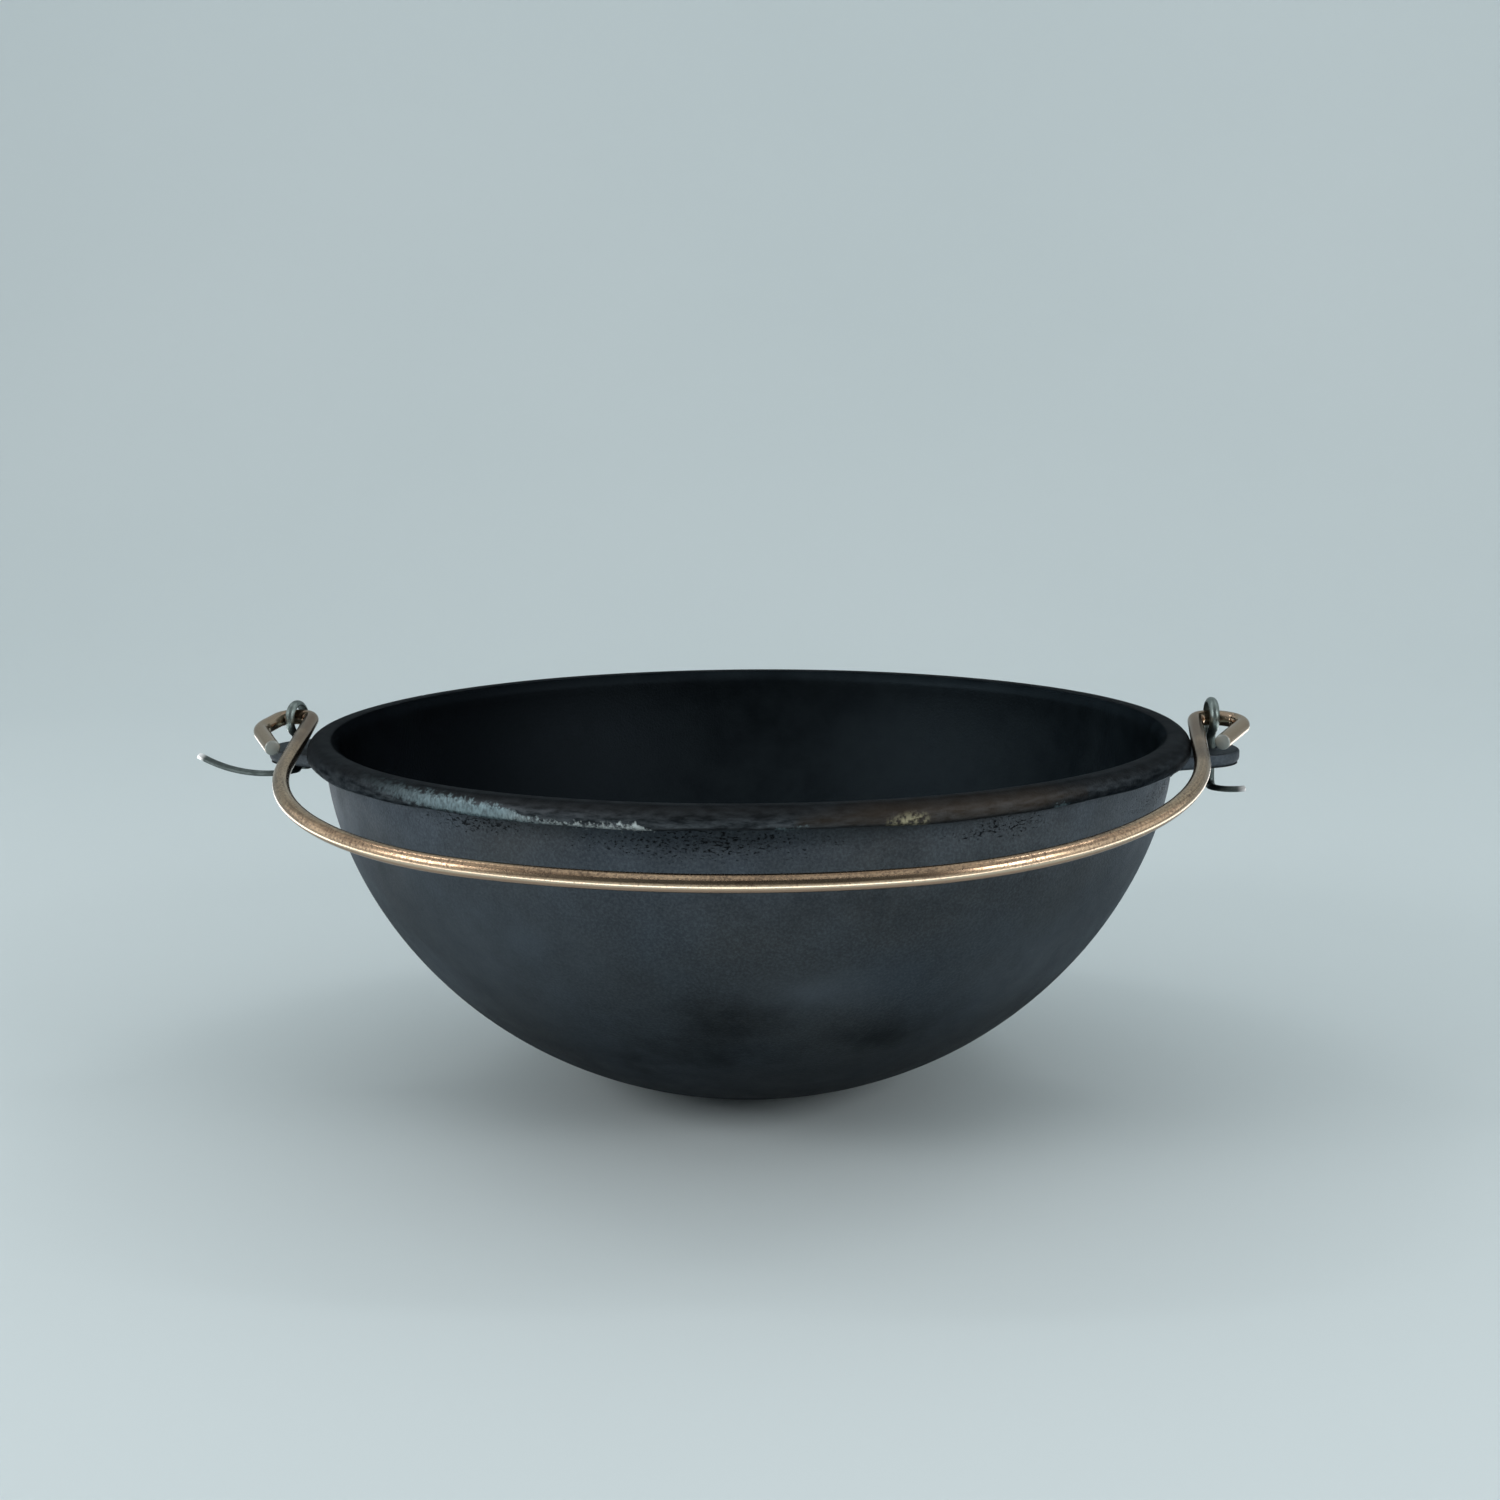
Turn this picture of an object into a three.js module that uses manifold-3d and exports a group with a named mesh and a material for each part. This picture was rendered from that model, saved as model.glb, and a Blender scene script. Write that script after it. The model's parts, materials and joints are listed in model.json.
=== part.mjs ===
// Cast iron cauldron: a round-bottomed bowl with two ears, a split pin in each ear and a wire bail.
// Millimetres, +Z up. The origin is the centre of the small flat that the bowl stands on,
// X runs through both ears, and the bail hangs forward over -Y.
import * as THREE from 'three';
import { mergeVertices } from 'three/addons/utils/BufferGeometryUtils.js';
import Module from 'manifold-3d';

const wasm = await Module();
wasm.setup();
const { degToRad } = THREE.MathUtils;

// Bowl
const bowlHeight = 134;
const rimRadius = 161;
const rimHeight = 7;
const rimOverhang = 6.5;
const rimTopRound = 4.6;
const rimLowerRound = 1.6;
const wallThickness = 5;
const floorThickness = 6.5;
const footRadius = 26;
// Exponents of the bowl's outline, which is a half ellipse when both are 1
const sideCurve = 0.95;
const baseCurve = 1.15;
const bowlSegments = 60;
const outlineSteps = 12;
const roundSteps = 2;

// Ears, cast with the bowl
const earDrop = 9;
const earThickness = 5;
const earEndRound = 18;
const earMargin = 10.4;
const earRootWidth = 50;
const earEdgeRound = 0.8;
const earArcSteps = 8;
const holeClearance = 0.45;
const holeSegments = 20;

// Split pins, of half-round wire; each leg runs straight out of the ear, bends over flat
// to its own side, turns and runs on outward, dipping by sag on the way and ending lifted
const wireWidth = 3.6;
const legGap = 0.3;
const eyeOpening = 10.4;
const neckRound = 4;
const legBend = 3.2;
const legTurn = 5;
const leftFrontLeg = { straight: 0.3, run: 37, sag: 1.6, lift: 5 };
const rightFrontLeg = { straight: 5.4, run: 11, sag: 0.6, lift: 0 };
const backLeg = { straight: 0.3, run: 3, sag: 0, lift: 0 };
const leftEyeRise = -0.7;
const rightEyeRise = 0.7;
const leftSwivel = degToRad(14);
const rightSwivel = degToRad(-3);
const swivelLimit = degToRad(14.5);
const pinSteps = 80;
const domeSteps = 3;

// Bail, of round rod with a hook through each pin's eye; bent by hand, so its two sides differ
const rodDiameter = 5.6;
const axisRise = 2;
const restTilt = degToRad(7.6);
const bailOverhang = 9;
const crownRadius = 256;
const hookBend = 5;
const hookStraight = 5;
const hookMouth = 2.4;
const leftSide = {
  armTaper: degToRad(6.25), cornerRadius: 118, hookOutreach: 9.3, hookSetback: 17, hookLength: 40,
};
const rightSide = {
  armTaper: degToRad(6.95), cornerRadius: 134, hookOutreach: 10.8, hookSetback: 7.5, hookLength: 31,
};
const bailSteps = 220;
const rodSides = 8;

// Gap between pieces that rest on or run past one another
const runningGap = 0.3;

// Sizes that follow from those above
const creaseHeight = bowlHeight - rimHeight;
const bodyRadius = rimRadius - rimOverhang;
const innerRadius = bodyRadius - wallThickness;
const earUnderside = bowlHeight - earDrop - earThickness;
const axisHeight = bowlHeight + axisRise;
const rodRadius = rodDiameter / 2;
const wireThickness = wireWidth / 2;
const eyeRadius = (eyeOpening + wireThickness) / 2;
const legOffset = (legGap + wireThickness) / 2;
const crownCentre = rimRadius + bailOverhang - crownRadius;
const armReach = spanRestingOnRim(Math.max(leftSide.armTaper, rightSide.armTaper));
const armBesideEye = Math.max(armAcross(leftSide, eyeOpening / 2), armAcross(rightSide, eyeOpening / 2));
const pinReach = armBesideEye + rodRadius + runningGap + eyeReachAtLimit();

// Half span of the bail at its hinge axis with which an arm of that taper rests on the rim's shoulder
function spanRestingOnRim(armTaper) {
  const shoulderRadius = rimRadius - rimTopRound;
  const shoulderHeight = bowlHeight - rimTopRound;
  const contact = rimTopRound + rodRadius + runningGap;
  let span = 0;
  for (let reach = 0; reach < rimRadius / 2; reach += 1) {
    const height = Math.max(0, axisHeight - reach * Math.sin(restTilt) - shoulderHeight);
    if (height < contact) {
      const outward = shoulderRadius + Math.sqrt(contact ** 2 - height ** 2);
      const across = Math.sqrt(outward ** 2 - (reach * Math.cos(restTilt)) ** 2);
      span = Math.max(span, across + reach * Math.tan(armTaper));
    }
  }
  return span;
}

// Half span of the bail's straight arm on one side, at a distance from the hinge axis
function armAcross(side, reach) {
  return armReach - reach * Math.tan(side.armTaper);
}

// How far a pin's eye reaches towards the bowl with the pin turned to its limit
function eyeReachAtLimit() {
  const eyeHalfWidth = eyeRadius + wireThickness / 2;
  return eyeHalfWidth * Math.sin(swivelLimit) + (wireWidth / 2) * Math.cos(swivelLimit);
}

// A drawing in a plane, placed in space
class FlatCurve extends THREE.Curve {
  constructor(drawing, place) {
    super();
    this.drawing = drawing;
    this.place = place;
  }

  getPoint(t) {
    const p = this.drawing.getPoint(t);
    return this.place(p.x, p.y);
  }
}

// Closed solid of a geometry, for joining and cutting
function solidOf(geometry) {
  geometry.deleteAttribute('normal');
  geometry.deleteAttribute('uv');
  const merged = mergeVertices(geometry);
  const corners = merged.index.array;
  const triangles = [];
  for (let i = 0; i < corners.length; i += 3) {
    const [a, b, c] = corners.slice(i, i + 3);
    if (a !== b && b !== c && c !== a) triangles.push(a, b, c);
  }
  const mesh = new wasm.Mesh({
    numProp: 3,
    vertProperties: new Float32Array(merged.attributes.position.array),
    triVerts: new Uint32Array(triangles),
  });
  return new wasm.Manifold(mesh);
}

function geometryOf(solid) {
  const { vertProperties, triVerts } = solid.getMesh();
  const geometry = new THREE.BufferGeometry();
  geometry.setAttribute('position', new THREE.BufferAttribute(vertProperties, 3));
  geometry.setIndex(new THREE.BufferAttribute(triVerts, 1));
  geometry.computeVertexNormals();
  return geometry;
}

// Angle along the bowl's outline at which it has narrowed to a radius
function outlineAngle(fullRadius, radius) {
  return Math.acos((radius / fullRadius) ** (1 / sideCurve));
}

// Bowl outline from the crease under the rim down to the last radius, as radius and height
function bowlOutline(fullRadius, lastRadius, lastHeight) {
  const lastAngle = outlineAngle(fullRadius, lastRadius);
  const depth = (creaseHeight - lastHeight) / Math.sin(lastAngle) ** baseCurve;
  const points = [];
  for (let i = 0; i < outlineSteps; i += 1) {
    const angle = (lastAngle * i) / outlineSteps;
    const radius = fullRadius * Math.cos(angle) ** sideCurve;
    points.push(new THREE.Vector2(radius, creaseHeight - depth * Math.sin(angle) ** baseCurve));
  }
  points.push(new THREE.Vector2(lastRadius, lastHeight));
  return points;
}

// Rim section from its lower edge, over the top, to its inner edge
function rimOutline() {
  const quarter = Math.PI / 2;
  const lowerCentre = rimRadius - rimLowerRound;
  const topCentre = bowlHeight - rimTopRound;
  const rim = new THREE.Path();
  rim.moveTo(lowerCentre, creaseHeight);
  rim.absarc(lowerCentre, creaseHeight + rimLowerRound, rimLowerRound, -quarter, 0, false);
  rim.absarc(rimRadius - rimTopRound, topCentre, rimTopRound, 0, quarter, false);
  rim.absarc(innerRadius + rimTopRound, topCentre, rimTopRound, quarter, 2 * quarter, false);
  return rim.getPoints(roundSteps);
}

function roundBowl() {
  const outside = bowlOutline(bodyRadius, footRadius, 0).reverse();
  const inside = bowlOutline(innerRadius, 0, floorThickness);
  const profile = [new THREE.Vector2(0, 0), ...outside, ...rimOutline(), ...inside];
  return new THREE.LatheGeometry(profile, bowlSegments).rotateX(Math.PI / 2);
}

// Plan of the ear on the +X side: flanks run from the wall to a rounded end
function earPlan() {
  const rootRadius = bodyRadius - wallThickness / 2;
  const rootHalf = earRootWidth / 2;
  const rootAngle = Math.asin(rootHalf / rootRadius);
  const rootX = rootRadius * Math.cos(rootAngle);
  const endX = pinReach + earMargin - earEndRound;
  const towardRoot = Math.atan2(rootHalf, rootX - endX);
  const tangent = towardRoot - Math.acos(earEndRound / Math.hypot(rootX - endX, rootHalf));
  const plan = new THREE.Shape();
  plan.moveTo(rootX, -rootHalf);
  plan.absarc(endX, 0, earEndRound, -tangent, tangent, false);
  plan.lineTo(rootX, rootHalf);
  plan.absarc(0, 0, rootRadius, rootAngle, -rootAngle, true);
  return plan;
}

function ear() {
  const slab = new THREE.ExtrudeGeometry(earPlan(), {
    depth: earThickness - 2 * earEdgeRound,
    bevelThickness: earEdgeRound,
    bevelSize: earEdgeRound,
    bevelOffset: -earEdgeRound,
    bevelSegments: 1,
    curveSegments: earArcSteps,
  });
  return slab.translate(0, 0, earUnderside + earEdgeRound);
}

function pinHole() {
  const radius = wireThickness + legGap / 2 + holeClearance;
  const drill = new THREE.CylinderGeometry(radius, radius, 3 * earThickness, holeSegments);
  return drill.rotateX(Math.PI / 2).translate(pinReach, 0, earUnderside + earThickness / 2);
}

function bowlGeometry() {
  let bowl = solidOf(roundBowl());
  for (const turn of [0, Math.PI]) {
    bowl = bowl.add(solidOf(ear().rotateZ(turn)));
    bowl = bowl.subtract(solidOf(pinHole().rotateZ(turn)));
  }
  return geometryOf(bowl);
}

// Shank and eye of a pin, drawn across the pin (x) and up (y), from the front leg to the back leg
function eyeDrawing(frontEnd, backEnd, eyeHeight) {
  const neckAcross = legOffset + neckRound;
  const neckBelow = Math.sqrt((eyeRadius + neckRound) ** 2 - neckAcross ** 2);
  const neckHeight = eyeHeight - neckBelow;
  const neckTurn = Math.atan2(neckBelow, neckAcross);
  const drawing = new THREE.Path();
  drawing.moveTo(-legOffset, frontEnd);
  drawing.lineTo(-legOffset, neckHeight);
  drawing.absarc(-neckAcross, neckHeight, neckRound, 0, neckTurn, false);
  drawing.absarc(0, eyeHeight, eyeRadius, Math.PI + neckTurn, -neckTurn, true);
  drawing.absarc(neckAcross, neckHeight, neckRound, Math.PI - neckTurn, Math.PI, false);
  drawing.lineTo(legOffset, backEnd);
  return drawing;
}

// Points that steer one leg from the end of its shank to its tip; front legs lie at face -1,
// back legs at +1, and the leg runs on to the heading's side of X
function legPoints(leg, face, heading) {
  const shankEnd = earUnderside - leg.straight;
  const level = shankEnd - legBend;
  const bentY = face * (legOffset + legBend);
  const runY = bentY + face * legTurn;
  return [
    new THREE.Vector3(0, face * legOffset, shankEnd),
    new THREE.Vector3(0, face * legOffset, level),
    new THREE.Vector3(0, bentY, level),
    new THREE.Vector3(0, runY, level),
    new THREE.Vector3((heading * leg.run) / 2, runY, level - leg.sag - leg.lift / 2),
    new THREE.Vector3(heading * leg.run, runY, level + leg.lift),
  ];
}

// Route of a pin's wire from the front tip, through the eye, to the back tip
function pinRoute(frontLeg, outward, eyeRise) {
  const [f0, f1, f2, f3, f4, f5] = legPoints(frontLeg, -1, outward);
  const [b0, b1, b2, b3, b4, b5] = legPoints(backLeg, 1, -outward);
  const eye = eyeDrawing(f0.z, b0.z, axisHeight + eyeRise);
  const route = new THREE.CurvePath();
  route.add(new THREE.CubicBezierCurve3(f5, f4, f3, f2));
  route.add(new THREE.QuadraticBezierCurve3(f2, f1, f0));
  route.add(new FlatCurve(eye, (x, y) => new THREE.Vector3(0, x, y)));
  route.add(new THREE.QuadraticBezierCurve3(b0, b1, b2));
  route.add(new THREE.CubicBezierCurve3(b2, b3, b4, b5));
  return route;
}

// Half-round section, turned so that its dome faces outward where the route is highest
function halfRound(route) {
  const frames = route.computeFrenetFrames(pinSteps, false);
  const heights = frames.normals.map((_, i) => route.getPoint(i / pinSteps).z);
  const top = heights.indexOf(Math.max(...heights));
  const dome = Math.atan2(frames.binormals[top].z, frames.normals[top].z);
  const flat = -wireThickness / 2;
  const section = new THREE.Shape();
  section.absarc(
    flat * Math.cos(dome), flat * Math.sin(dome), wireThickness,
    dome - Math.PI / 2, dome + Math.PI / 2, false,
  );
  return section;
}

function pinGeometry(frontLeg, outward, eyeRise) {
  const route = pinRoute(frontLeg, outward, eyeRise);
  return new THREE.ExtrudeGeometry(halfRound(route), {
    steps: pinSteps,
    curveSegments: domeSteps,
    extrudePath: route,
  });
}

// Hook corners at one end of the bail, from the arm, through the eye, to the tip
function hookCorners(side, outward) {
  const tipAcross = armAcross(side, side.hookLength) + rodDiameter + hookMouth;
  return [
    new THREE.Vector2(outward * armReach, 0),
    new THREE.Vector2(outward * (pinReach + hookStraight), 0),
    new THREE.Vector2(outward * (pinReach + side.hookOutreach), side.hookSetback),
    new THREE.Vector2(outward * tipAcross, side.hookLength),
  ];
}

// Runs a drawing on to a corner and rounds it towards the next point
function roundCorner(drawing, corner, next) {
  const before = drawing.currentPoint.clone().sub(corner).setLength(hookBend).add(corner);
  const after = next.clone().sub(corner).setLength(hookBend).add(corner);
  drawing.lineTo(before.x, before.y);
  drawing.quadraticCurveTo(corner.x, corner.y, after.x, after.y);
}

// Centre of the bail's corner on one side, which touches that side's arm and the crown, with the angle
// round the crown at which they touch
function cornerOf(side) {
  const armWay = new THREE.Vector2(-Math.sin(side.armTaper), Math.cos(side.armTaper));
  const centre = new THREE.Vector2(armWay.y, -armWay.x).multiplyScalar(-side.cornerRadius);
  centre.add(new THREE.Vector2(armReach, -crownCentre));
  const back = centre.dot(armWay);
  const room = (crownRadius - side.cornerRadius) ** 2 - centre.lengthSq();
  centre.addScaledVector(armWay, Math.sqrt(back ** 2 + room) - back);
  const turn = centre.angle();
  centre.y += crownCentre;
  return { centre, turn, radius: side.cornerRadius };
}

// Bail drawn flat, across (x) and forward from its hinge axis (y), from the left tip to the right tip
function bailDrawing() {
  const left = cornerOf(leftSide);
  const right = cornerOf(rightSide);
  const [leftArm, leftKnee, leftHeel, leftTip] = hookCorners(leftSide, -1);
  const [rightArm, rightKnee, rightHeel, rightTip] = hookCorners(rightSide, 1);
  const leftArmEnd = new THREE.Vector2(-armAcross(leftSide, left.centre.y), left.centre.y);
  const leftStart = Math.PI - leftSide.armTaper;
  const leftEnd = Math.PI - left.turn;
  const drawing = new THREE.Path();
  drawing.moveTo(leftTip.x, leftTip.y);
  roundCorner(drawing, leftHeel, leftKnee);
  roundCorner(drawing, leftKnee, leftArm);
  roundCorner(drawing, leftArm, leftArmEnd);
  drawing.absarc(-left.centre.x, left.centre.y, left.radius, leftStart, leftEnd, true);
  drawing.absarc(0, crownCentre, crownRadius, leftEnd, right.turn, true);
  drawing.absarc(right.centre.x, right.centre.y, right.radius, right.turn, rightSide.armTaper, true);
  roundCorner(drawing, rightArm, rightKnee);
  roundCorner(drawing, rightKnee, rightHeel);
  roundCorner(drawing, rightHeel, rightTip);
  drawing.lineTo(rightTip.x, rightTip.y);
  return drawing;
}

function bailGeometry() {
  const route = new FlatCurve(bailDrawing(), (x, y) => new THREE.Vector3(x, -y, 0));
  const section = new THREE.Shape();
  section.absarc(0, 0, rodRadius, 0, 2 * Math.PI, false);
  return new THREE.ExtrudeGeometry(section, {
    steps: bailSteps,
    curveSegments: rodSides / 2,
    extrudePath: route,
  });
}

const castIron = new THREE.MeshStandardMaterial({ color: '#3b4046', roughness: 0.62, metalness: 0.75 });
const pinSteel = new THREE.MeshStandardMaterial({ color: '#77807d', roughness: 0.5, metalness: 0.9 });
const copperedRod = new THREE.MeshStandardMaterial({ color: '#a27a5e', roughness: 0.35, metalness: 0.95 });

const cauldron = new THREE.Group();

function addPiece(name, geometry, material) {
  const piece = new THREE.Mesh(geometry, material);
  piece.name = name;
  cauldron.add(piece);
  return piece;
}

addPiece('bowl', bowlGeometry(), castIron);

const leftPin = addPiece('left_split_pin', pinGeometry(leftFrontLeg, -1, leftEyeRise), pinSteel);
leftPin.position.x = -pinReach;
leftPin.rotation.z = -leftSwivel;

const rightPin = addPiece('right_split_pin', pinGeometry(rightFrontLeg, 1, rightEyeRise), pinSteel.clone());
rightPin.position.x = pinReach;
rightPin.rotation.z = -rightSwivel;

const bail = addPiece('bail', bailGeometry(), copperedRod);
bail.position.z = axisHeight;
bail.rotation.x = restTilt;

export default cauldron;
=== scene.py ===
import json

import bpy
import numpy as np
from mathutils import Matrix, Vector


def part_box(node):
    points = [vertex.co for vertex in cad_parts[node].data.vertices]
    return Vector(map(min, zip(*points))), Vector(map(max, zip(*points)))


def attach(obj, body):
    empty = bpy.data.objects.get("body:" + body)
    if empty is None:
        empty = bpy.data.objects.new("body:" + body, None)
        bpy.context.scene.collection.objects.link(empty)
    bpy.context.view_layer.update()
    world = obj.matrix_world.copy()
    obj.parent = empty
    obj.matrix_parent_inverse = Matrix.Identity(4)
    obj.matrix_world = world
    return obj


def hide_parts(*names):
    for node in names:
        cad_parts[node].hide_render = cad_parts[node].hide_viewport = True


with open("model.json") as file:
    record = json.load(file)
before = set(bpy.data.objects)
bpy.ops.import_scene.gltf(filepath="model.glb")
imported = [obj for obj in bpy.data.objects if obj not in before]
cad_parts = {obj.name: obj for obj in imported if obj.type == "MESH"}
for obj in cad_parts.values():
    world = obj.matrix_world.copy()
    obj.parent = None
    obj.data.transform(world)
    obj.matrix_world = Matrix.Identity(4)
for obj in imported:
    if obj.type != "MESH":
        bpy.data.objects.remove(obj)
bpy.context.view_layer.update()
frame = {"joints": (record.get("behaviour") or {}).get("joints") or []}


# Bowl: grey iron, poured in a sand mould in one piece with its thick rounded rim.
# The sand leaves a fine grain and small pits under the rim, the rim has been ground by hand,
# and the iron was then oiled and burnt to a dark blue-grey skin.
MM = 0.001
rim_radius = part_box("bowl")[1].y
bowl_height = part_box("bowl")[1].z
rim_height = 7 * MM
rim_overhang = 6.5 * MM
rim_top_round = 4.6 * MM
rim_lower_round = 1.6 * MM
crease_round = 1.4 * MM
wall_thickness = 5 * MM
floor_thickness = 6.5 * MM
foot_radius = 26 * MM
pole_radius = 2 * MM
side_curve = 0.95
base_curve = 1.15
crease_height = bowl_height - rim_height
body_radius = rim_radius - rim_overhang
inner_radius = body_radius - wall_thickness


def wall_outline(full_radius, last_radius, last_height, steps):
    """Wall section from the crease down: the radius falls as a power of the cosine, and the height as a
    power of the sine, of one angle. With both powers at 1 it would be an ellipse."""
    last = np.arccos((last_radius / full_radius) ** (1 / side_curve))
    depth = (crease_height - last_height) / np.sin(last) ** base_curve
    angle = np.linspace(0, last, steps)
    radius = full_radius * np.cos(angle) ** side_curve
    height = crease_height - depth * np.sin(angle) ** base_curve
    return np.stack([radius, height], axis=1)


def arc(across, up, radius, start, end, steps):
    """Circular arc in a plane: its centre plus the radius times the cosine and sine of each angle."""
    angle = np.radians(np.linspace(start, end, steps))
    return np.stack([across + radius * np.cos(angle), up + radius * np.sin(angle)], axis=1)


def bowl_profile():
    """Radius and height round the section: out along the foot, up the outside, over the rim and down
    the inside to the middle of the floor."""
    foot = np.stack([np.linspace(pole_radius, foot_radius, 8), np.zeros(8)], axis=1)
    outside = wall_outline(body_radius, foot_radius, 0, 84)[::-1]
    inside = wall_outline(inner_radius, pole_radius, floor_thickness, 64)
    shoulder = bowl_height - rim_top_round
    return np.concatenate([
        foot[:-1],
        outside[outside[:, 1] < crease_height - crease_round],
        arc(body_radius + crease_round, crease_height - crease_round, crease_round, 180, 90, 6),
        arc(rim_radius - rim_lower_round, crease_height + rim_lower_round, rim_lower_round, -90, 0, 6),
        arc(rim_radius - rim_top_round, shoulder, rim_top_round, 0, 90, 14),
        arc(inner_radius + rim_top_round, shoulder, rim_top_round, 90, 180, 12),
        inside,
    ])


def casting_lumps(around, height):
    """How far the cast skin stands out: slow waves round the pot, each turning as it climbs."""
    waves = ((3, 40, 0.14), (7, 23, 0.09), (13, 14, 0.05))
    return sum(depth * MM * np.sin(count * around + height / (pitch * MM)) for count, pitch, depth in waves)


def band_field(around, height, angles, tops, feet, blur):
    """1 on a band of the wall between a foot and a top height that vary with the angle, falling to 0 over
    the blur on each side of its edge, and 0 past the first and the last angle."""
    angle = np.degrees(around)
    top = np.interp(angle, angles, tops) * MM
    foot = np.interp(angle, angles, feet) * MM
    inside = np.minimum(top - height, height - foot) / (blur * MM) / 2 + 0.5
    return np.clip(inside, 0, 1) * ((angle >= angles[0]) & (angle <= angles[-1]))


# The grid of the bowl, with the rows up to the rim's top as its outside. The inside's burnt oil and its
# painted shade begin a few rows further on.
columns_round = 480
rows_left_clean = 3
profile = bowl_profile()
around = np.linspace(-np.pi, np.pi, columns_round, endpoint=False)
radius, height = np.broadcast_arrays(profile[:, :1], profile[:, 1:] + 0 * around)
row = np.arange(len(profile))[:, None]
top_row = np.argmax(profile[:, 1])
outer = row <= top_row
oiled_and_shaded_inside = row > top_row + rows_left_clean

# Where the grinder has been: bands of bare metal with their angles from the front in degrees, and the
# heights of their tops and feet in millimetres. The first runs out into a thin line along the rim's edge.
# The bare metal's shine, from 0 to 1, is given at a few angles of its own.
bare_bands = (
    ((-50, -44, -38, -31, -25, -21, -18, -13, -9, -7.5),
     (133.6, 133.3, 132.9, 132.3, 131.2, 128.6, 127.9, 128.2, 128.7, 127.4),
     (132.6, 131.2, 129, 127.4, 126.8, 126.8, 126.8, 126.8, 126.8, 126.8)),
    ((5, 6.5, 9, 9.6), (127, 127.4, 127.4, 127), (126.8, 126.8, 126.8, 126.8)),
    ((38.5, 39.5, 40.6), (127.6, 128.6, 127.6), (127, 127, 127)),
)
grinding_blur = 1.8
shine_angles = (-50, -45, -40, -35, -29, -8, 4)
shine_levels = (0.05, 0.15, 0.4, 0.75, 0.95, 1, 0.6)
ground = outer * np.max([band_field(around, height, *band, grinding_blur) for band in bare_bands], axis=0)
shine = np.interp(np.degrees(around), shine_angles, shine_levels) + 0 * height

# A rubbed spot, a brown heat colour, painted shade on the rim's lower edge on the right, and a painted
# dark line of shade all along the crease under the rim, given in the same way with the blur in millimetres
# at the end
rubbed_band = ((17.5, 19.2, 20.8, 22.4), (128, 129.6, 130, 128.6), (128, 127.6, 127.6, 128.2), 1.8)
browned_band = ((8, 16, 36, 44), (130, 134, 134, 131), (129, 127, 127, 129), 2.0)
shaded_rim_band = ((34, 42, 62, 80), (127.2, 130.2, 130.6, 128), (126, 126, 126, 126), 1.4)
shaded_crease_band = ((-180, 180), (127.4, 127.4), (126.2, 126.2), 0.8)
rubbed = outer * band_field(around, height, *rubbed_band)
browned = outer * band_field(around, height, *browned_band)
rim_and_crease_shade = outer * np.maximum(
    band_field(around, height, *shaded_rim_band), band_field(around, height, *shaded_crease_band))


def soft_patch(around, height, angle, angle_reach, level, level_reach):
    """A bell curve of the angle in degrees and the height in millimetres: 1 in the middle of the patch."""
    from_angle = (np.degrees(around) - angle) / angle_reach
    from_level = (height / MM - level) / level_reach
    return np.exp(-from_angle ** 2 - from_level ** 2)


# Patches where the mould's sand came loose and left the skin pitted: the angle of each and its reach in
# degrees, then its height and its reach in millimetres
loose_sand = (
    (-2, 24, 122, 9),
    (-30, 14, 124, 5),
    (33, 12, 122, 6),
    (70, 25, 118, 8),
    (-120, 40, 117, 9),
    (160, 30, 119, 8),
)
pitted = outer * np.max([soft_patch(around, height, *patch) for patch in loose_sand], axis=0)

# Patches low on the bowl and a faint film under the rim: partly soot and smoke from the flames, partly
# painted shade where the wall faces the shaded floor or lies under the rim
sooty_shaded_patches = (
    (0, 8, 58, 10),
    (-3, 15, 43, 11),
    (24, 10, 48, 9),
    (-16, 9, 34, 10),
    (62, 15, 42, 10),
    (-62, 16, 36, 10),
    (105, 26, 48, 13),
    (-115, 30, 50, 14),
    (170, 30, 44, 13),
)
smoke_and_shade_patch = (17, 26, 103, 11)
smoke_and_shade_strength = 0.4
flame_soot_and_shade = np.max([soft_patch(around, height, *patch) for patch in sooty_shaded_patches], axis=0)
smoke_and_shade = smoke_and_shade_strength * soft_patch(around, height, *smoke_and_shade_patch)
sooted_and_shaded = outer * np.maximum(flame_soot_and_shade, smoke_and_shade)

# Patches where the oil was wiped thin and dried to a lighter grey, which also stand in as painted light on
# the wall
wiped_and_lit_patches = (
    (-34, 17, 78, 24),
    (-50, 10, 60, 16),
    (46, 13, 68, 16),
    (12, 9, 70, 8),
    (125, 40, 85, 20),
    (-140, 35, 80, 22),
)
dried_and_lit = outer * np.max([soft_patch(around, height, *patch) for patch in wiped_and_lit_patches], axis=0)

# The grinder took a little off the rim, and the rim's lower edge wobbles by two waves round the pot
grinding_depth = 0.35 * MM
edge_wobble = 0.3 * MM
wobble_reach = 3 * MM
near_edge = np.clip(1 - np.abs(height - crease_height) / wobble_reach, 0, 1) * outer
wobble = edge_wobble * near_edge * (np.sin(9 * around + 0.4) + 0.5 * np.sin(23 * around + 2))
radius = radius * (1 + casting_lumps(around, height) / rim_radius) - grinding_depth * ground
bowl_rings = np.stack([radius * np.sin(around), -radius * np.cos(around), height + wobble], axis=-1)


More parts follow.
